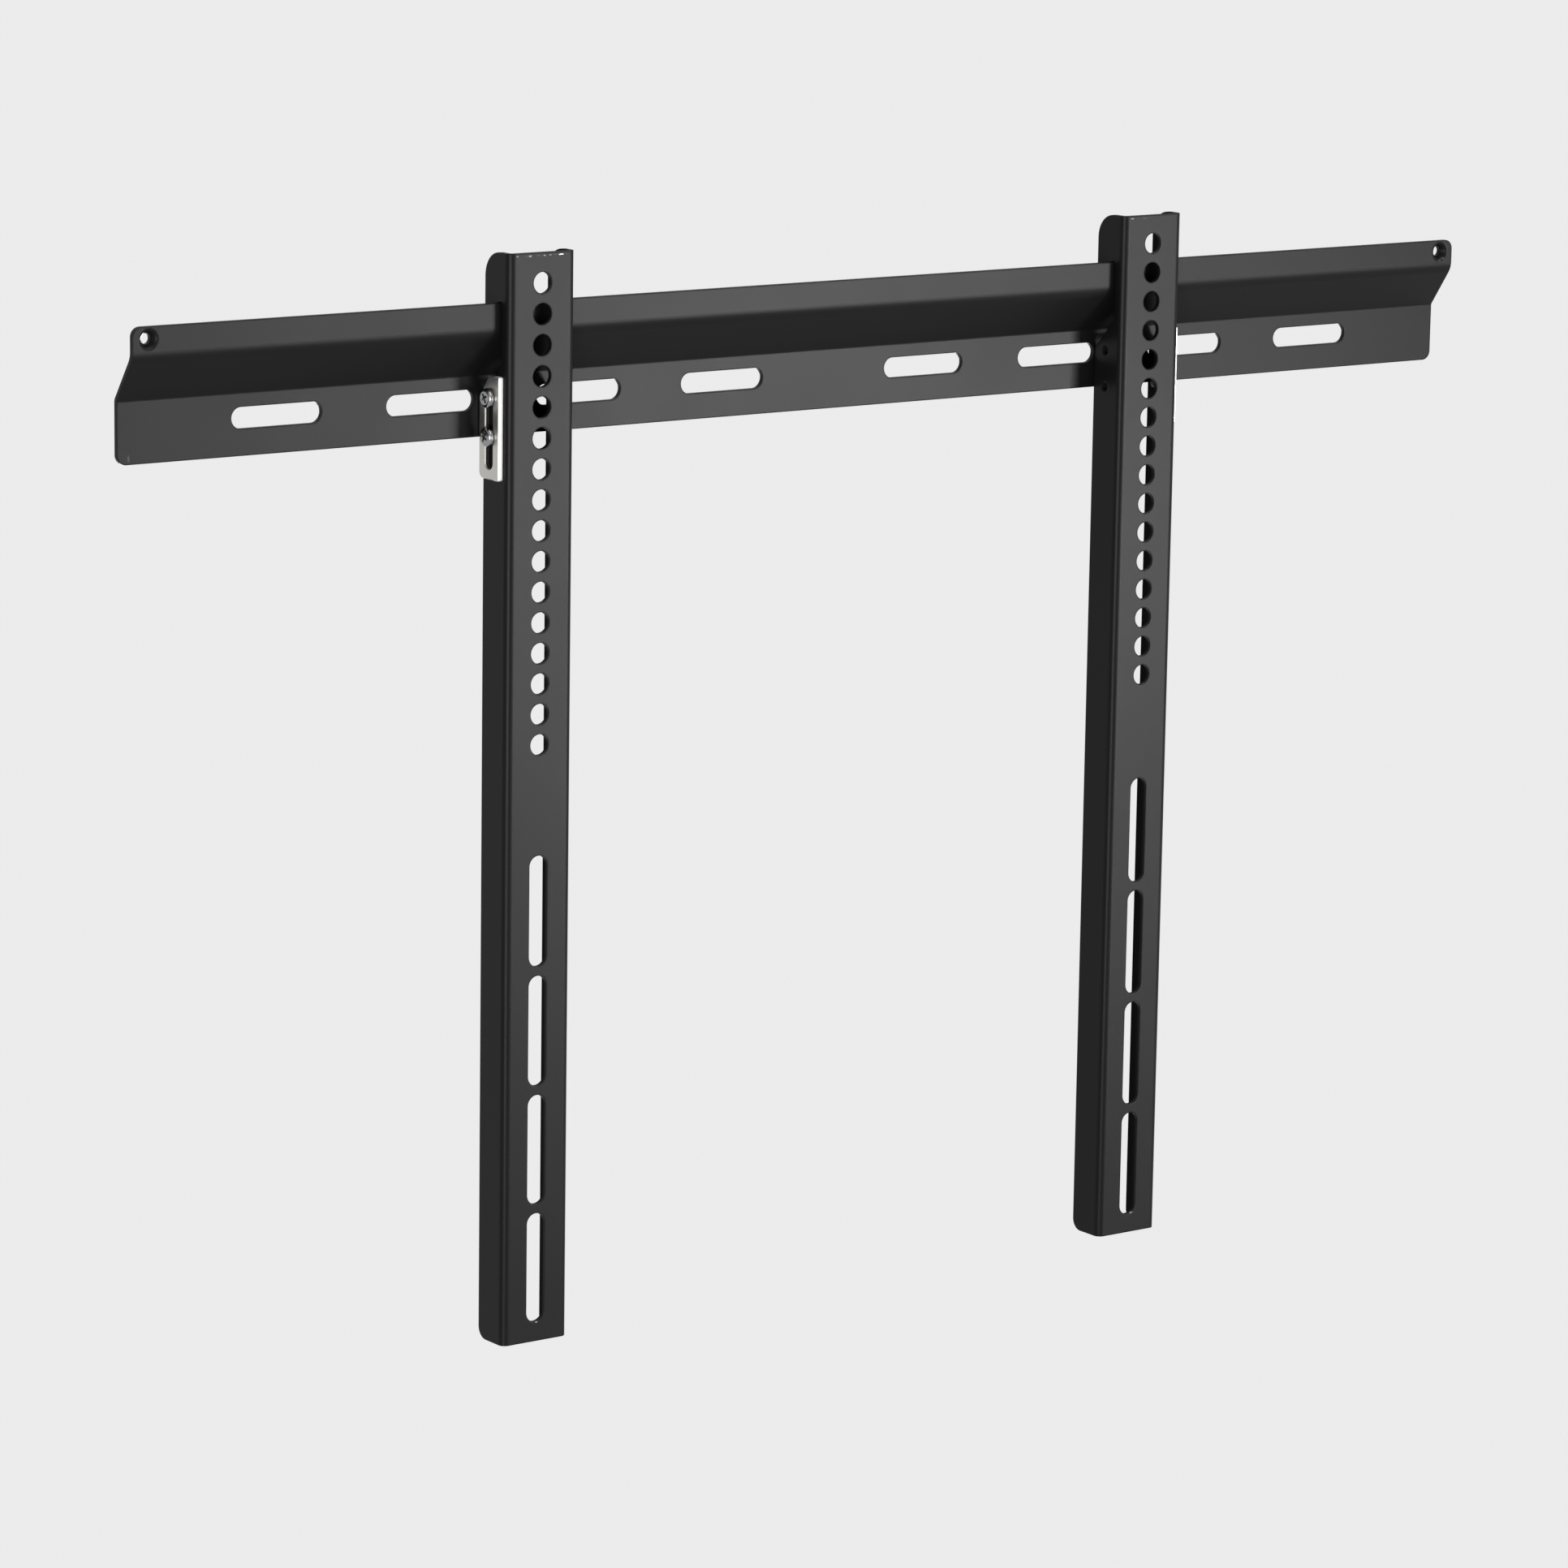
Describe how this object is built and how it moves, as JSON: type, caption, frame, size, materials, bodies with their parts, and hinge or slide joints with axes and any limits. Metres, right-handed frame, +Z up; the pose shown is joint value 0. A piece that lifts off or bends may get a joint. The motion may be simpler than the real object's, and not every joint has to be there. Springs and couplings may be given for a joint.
{
  "type": "fixed tv wall bracket",
  "caption": "Slim fixed wall bracket for a flat screen: a folded slotted wall rail with pressed end stops, channel arms that hook over it and slide, and sliding lock plates on the arms.",
  "frame": {"origin": "middle of the rail's back face, on the wall, at the height of the wall slots", "axes": "+X along the rail to the right as seen from the room, +Y into the wall, +Z up"},
  "size_m": [0.675, 0.0203, 0.45],
  "materials": {
    "black_powder_coat": "fine matt black powder coat on folded sheet steel",
    "bare_steel": "satin stainless sheet, brushed along its length, with bright sheared edges",
    "bright_zinc": "bright zinc-plated steel screws"
  },
  "bodies": {
    "rail": {"wall_rail": "black_powder_coat"},
    "left_arm": {"left_arm": "black_powder_coat", "left_upper_lock_screw": "bright_zinc", "left_lower_lock_screw": "bright_zinc"},
    "left_lock": {"left_lock_plate": "bare_steel"},
    "right_arm": {"right_arm": "black_powder_coat", "right_upper_lock_screw": "bright_zinc", "right_lower_lock_screw": "bright_zinc"},
    "right_lock": {"right_lock_plate": "bare_steel"}
  },
  "joints": [
    {"name": "left_arm_slide", "type": "slide", "parent": "rail", "child": "left_arm", "axis": [1, 0, 0], "range_m": [-0.1553, 0.1367]},
    {"name": "left_lock_slide", "type": "slide", "parent": "left_arm", "child": "left_lock", "axis": [0, 0, 1], "range_m": [0, 0.0085]},
    {"name": "right_arm_slide", "type": "slide", "parent": "rail", "child": "right_arm", "axis": [1, 0, 0], "range_m": [-0.1439, 0.1481]},
    {"name": "right_lock_slide", "type": "slide", "parent": "right_arm", "child": "right_lock", "axis": [0, 0, 1], "range_m": [0, 0.0085]}
  ]
}
